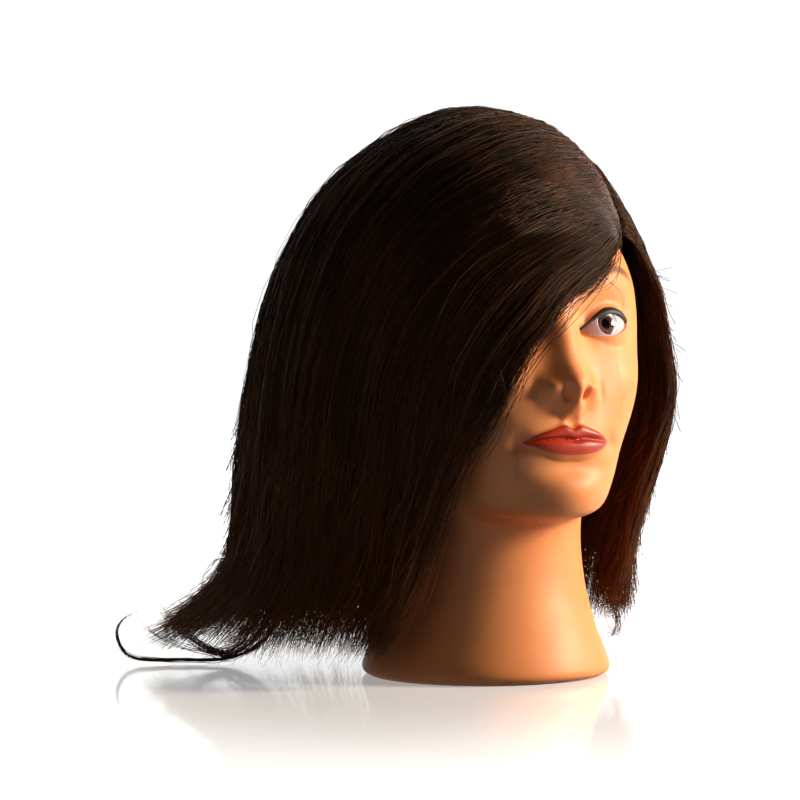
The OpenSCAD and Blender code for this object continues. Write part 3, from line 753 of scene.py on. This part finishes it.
def comb(section, count, outer, inner, draws):
    """Paths of a section's strands, loosely gathered into clumps that share their drift."""
    c0 = section + draws.uniform(0, 1, count)
    scalp = np.interp(c0, np.arange(len(SCALP_END)), SCALP_END)
    # more roots show near the parting than under the other hair
    root = scalp * draws.uniform(0, 1, count) ** 1.5
    clumps = 120
    home_c = section + draws.uniform(0, 1, clumps)
    home_r = draws.uniform(0, 1, clumps) ** 1.5
    gap = (c0[:, None] - home_c) ** 2 + 0.5 * ((root / scalp)[:, None] - home_r) ** 2
    mine = gap.argmin(1)
    length = 0.93 + 0.04 * draws.uniform(0, 1, clumps)[mine] + 0.04 * draws.uniform(0, 1, count)
    length -= 0.22 * draws.uniform(0, 1, count) ** 5
    rim = bump(np.minimum(c0, len(SECTIONS) - c0), 0.26)
    length *= 1 - 0.7 * (draws.uniform(0, 1, count) < 0.3 * rim) * draws.uniform(0.2, 1, count)
    s = np.linspace(0, 1, STRAND_POINTS)[None]
    t = mix(root[:, None], length[:, None], s)
    c = c0[:, None] + (home_c[mine] - c0)[:, None] * 0.5 * smooth(t, 0.15, 1.0)
    if SECTIONS[section] == "fringe":  # its edge lies higher, to show the brow
        c = c + FRINGE_SHIFT * (1 - c) * (1 - smooth(t, 0.15, 0.45))
    rooted = np.minimum(t, scalp[:, None])
    depth = (rooted - root[:, None]) / rooted.clip(0.02)
    depth = mix(depth, (1 - home_r[mine])[:, None], 0.4 * smooth(t, 0.3, 1.0))
    depth = np.clip(depth + 0.03 * draws.normal(size=(count, 1)), 0, 1.0)
    paths = mix(sample(inner, c, t), sample(outer, c, t), depth[..., None])
    shared = waves(clumps, s + np.zeros((clumps, 1)), 1.8, draws)[mine]
    own = waves(count, s + np.zeros((count, 1)), 2.6, draws)
    # one strand in twenty-five waves more than the others
    wild = 1 + 1.2 * (draws.uniform(0, 1, (count, 1, 1)) > 0.96)
    calm = (0.7 + 0.3 * smooth(np.minimum(c0, len(SECTIONS) - c0), 0, 1.4))[:, None, None]
    free = smooth(s, 0.02, 0.3)[..., None] * calm
    paths = paths + free * (shared * mix(1.0, 3.0, smooth(t, 0.2, 1))[..., None]
                            + own * wild * mix(1.1, 2.8, t)[..., None])
    # the edges beside the face are feathered
    in_c = np.where(c < 5, c + 0.3, c - 0.3)
    beyond = sample(outer, np.where(c < 5, 0, len(SECTIONS)) + 0 * c, t) - sample(outer, in_c, t)
    beyond /= np.linalg.norm(beyond, axis=-1, keepdims=True) + 1e-9
    feather = np.abs(draws.normal(0, 5.0, (count, 1))) * rim[:, None]
    rate = draws.uniform(0.5, 2, (count, 1))
    phase = draws.uniform(0, 1, (count, 1))
    feather = feather * (0.5 + 0.5 * np.sin(2 * np.pi * (s * rate + phase)))
    paths = paths + (feather * smooth(s, 0.05, 0.35))[..., None] * beyond
    # tips flick outward and up
    away = paths - core_points(paths)
    away[..., 2] = 0
    away /= np.linalg.norm(away, axis=-1, keepdims=True)
    tip = np.clip((s - 0.84) / 0.16, 0, 1)[..., None] ** 2 * calm
    kick = draws.normal(1, 4, (count, 1, 1)) + draws.normal(0, 5, clumps)[mine][:, None, None]
    lift = np.abs(draws.normal(0, 3, (count, 1, 1)))
    paths = paths + tip * (away * kick + np.array([0, 0, 1]) * lift)
    limit, ease = BACK_LIMIT
    excess = np.maximum(limit - paths[..., 1], 0)
    paths[..., 1] += excess - ease * np.tanh(excess / ease)
    return paths, t


def stray_paths(draws):
    """Loose locks that lie on the table or hang over the face and neck, and their thickness."""
    paths, thickness = [], []
    s = np.linspace(0, 1, STRAND_POINTS)
    for count, spread, thick, points in STRAYS:
        middle = along(np.array(points, float), s)
        for _ in range(count):
            drift = waves(1, s[None], 2.0, draws)[0] * spread * mix(0.5, 1.2, s)[:, None]
            paths.append(along(middle + drift, s * draws.uniform(0.8, 1.0)))
            thickness.append(thick)
    return np.array(paths), np.array(thickness)[:, None]


def build_hair(head):
    outer, inner = hair_tables(head)
    mat = hair_material("hair", rgb(24, 13, 7), rgb(112, 64, 32), rgb(132, 78, 40))
    for k, name in enumerate(SECTIONS):
        draws = np.random.default_rng(100 + k)
        paths, t = comb(k, STRANDS, outer, inner, draws)
        radius = draws.uniform(0.11, 0.2, (STRANDS, 1))
        if name == "nape_right":
            extra, thickness = stray_paths(draws)
            radius[-len(extra):] *= thickness
            paths = np.concatenate([paths[len(extra):], extra])
            outward = np.tile(np.linspace(0.5, 1, STRAND_POINTS), (len(extra), 1))
            t = np.concatenate([t[len(extra):], outward])
        taper = mix(1.0, 0.35, smooth(t, 0.75, 1.0))
        radius = radius * taper
        tone = draws.uniform(0, 1, (STRANDS, 1)) ** 1.8
        dress(strand_mesh("hair_" + name + "_strands", paths, radius, tone, t), mat, "hair", "hair_" + name)


# ---------------------------------------------------------------- foot


def dress_foot():
    """The foam gets its own mesh, and the other pieces of the foot keep their shape and get their finish."""
    foam_mat = plastic_material("foam", rgb(232, 218, 176), rgb(216, 196, 150), 0.75, 500, 0.0006)
    dress(build_foam(), foam_mat, "foam", "foam_core")
    finishes = {
        "root_lock_coat": plastic_material("root_coat", rgb(214, 190, 150), rgb(200, 172, 128), 0.4),
        "base_disc": plastic_material("foot_disc", rgb(52, 52, 54), rgb(64, 63, 63), 0.5),
        "clamp_socket": plastic_material("socket_plastic", rgb(226, 225, 218), rgb(214, 212, 204), 0.3),
        "socket_screws": plastic_material("screw_steel", rgb(190, 190, 194), rgb(168, 168, 172), 0.25),
    }
    for node, mat in finishes.items():
        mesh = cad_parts[node].data
        mesh.materials.clear()
        mesh.materials.append(mat)
    finishes["socket_screws"].node_tree.nodes["Principled BSDF"].inputs["Metallic"].default_value = 1.0


# ---------------------------------------------------------------- stage


def aim(obj, location, target):
    obj.location = location
    obj.rotation_mode = "QUATERNION"
    obj.rotation_quaternion = (Vector(target) - Vector(location)).to_track_quat("-Z", "Y")


AZIMUTH = math.radians(-30)
TO_CAMERA = Vector((math.sin(AZIMUTH), -math.cos(AZIMUTH), 0))
RIGHT = Vector((math.cos(AZIMUTH), math.sin(AZIMUTH), 0))
UP = Vector((0, 0, 1))
LIT = (0, 0, 0.16)                # the point that every lamp is aimed at


def build_camera():
    distance, eye_height, aside, half_view = 1.16, 0.14, 0.0443, 0.206
    camera = bpy.data.objects.new("camera", bpy.data.cameras.new("camera"))
    bpy.context.scene.collection.objects.link(camera)
    place = TO_CAMERA * distance - RIGHT * aside + UP * eye_height
    aim(camera, place, place - TO_CAMERA)
    camera.data.sensor_width = 36
    camera.data.lens = 18 * distance / half_view
    camera.data.clip_start = 0.05
    bpy.context.scene.camera = camera


def area_light(name, place, size, power, colour):
    data = bpy.data.lights.new(name, "AREA")
    data.size, data.energy, data.color = size, power, colour
    obj = bpy.data.objects.new(name, data)
    bpy.context.scene.collection.objects.link(obj)
    aim(obj, place, LIT)


def build_stage():
    area_light("key", RIGHT * 1.0 + TO_CAMERA * 0.02 + UP * 0.42, 0.3, 22, (1, 0.84, 0.68))
    area_light("fill", -RIGHT * 0.7 + TO_CAMERA * 1.2 + UP * 0.15, 1.0, 1.0, (1, 0.88, 0.78))
    area_light("back", RIGHT * 0.2 - TO_CAMERA * 1.0 + UP * 0.9, 0.9, 14, (1, 0.88, 0.74))
    bpy.ops.mesh.primitive_plane_add(size=14, location=(0, 0, 0))
    floor = bpy.context.object
    floor.name = "floor"
    floor.visible_diffuse = False
    m = Nodes("pale_floor", Specular_IOR_Level=0.8, Emission_Color=(1, 1, 1, 1))
    m.colour(m.blend(m.ramp(m.noise(3, 2), 0.2, 0.8), rgb(250, 249, 248), rgb(247, 246, 246)))
    m.roughness(m.math("MULTIPLY_ADD", m.noise(6, 2), 0.04, 0.05))
    far = m.add("VectorMath", {0: m.add("TexCoord").outputs["Object"]}, operation="LENGTH").outputs["Value"]
    # painted light: the floor glows, weakly near the head and strongly further out, so that it reads white out
    # to the horizon
    m.put(m.math("MULTIPLY_ADD", m.ramp(far, 0.1, 0.42), 0.55, 0.3), m.shader.inputs["Emission Strength"])
    floor.data.materials.append(m.mat)
    # white backdrop: full strength for the camera and for mirror images of what lies behind the part
    world = bpy.data.worlds.new("studio")
    bpy.context.scene.world = world
    world.use_nodes = True
    nodes, links = world.node_tree.nodes, world.node_tree.links
    light = nodes["Background"]
    light.inputs["Color"].default_value = (1, 0.985, 0.97, 1)
    light.inputs["Strength"].default_value = 0.06
    seen = nodes.new("ShaderNodeBackground")
    seen.inputs["Color"].default_value = (1, 1, 1, 1)
    seen.inputs["Strength"].default_value = 1.05
    path, both = nodes.new("ShaderNodeLightPath"), nodes.new("ShaderNodeMixShader")
    where, behind = nodes.new("ShaderNodeTexCoord"), nodes.new("ShaderNodeVectorMath")
    behind.operation = "DOT_PRODUCT"
    behind.inputs[1].default_value = -TO_CAMERA
    links.new(where.outputs["Generated"], behind.inputs[0])
    edge = nodes.new("ShaderNodeMapRange")
    edge.inputs["From Min"].default_value, edge.inputs["From Max"].default_value = 0.1, 0.5
    links.new(behind.outputs["Value"], edge.inputs["Value"])
    mirrored, either = nodes.new("ShaderNodeMath"), nodes.new("ShaderNodeMath")
    mirrored.operation, either.operation = "MULTIPLY", "MAXIMUM"
    links.new(edge.outputs[0], mirrored.inputs[0])
    links.new(path.outputs["Is Glossy Ray"], mirrored.inputs[1])
    links.new(mirrored.outputs[0], either.inputs[0])
    links.new(path.outputs["Is Camera Ray"], either.inputs[1])
    links.new(either.outputs[0], both.inputs[0])
    links.new(light.outputs[0], both.inputs[1])
    links.new(seen.outputs[0], both.inputs[2])
    links.new(both.outputs[0], nodes["World Output"].inputs["Surface"])
    bpy.context.scene.view_settings.view_transform = "Standard"


build_camera()
head = build_head()
dress(head, skin_material(), "vinyl_skin", "head_shell")
build_eyes()
dress_foot()
build_hair(head)
build_stage()
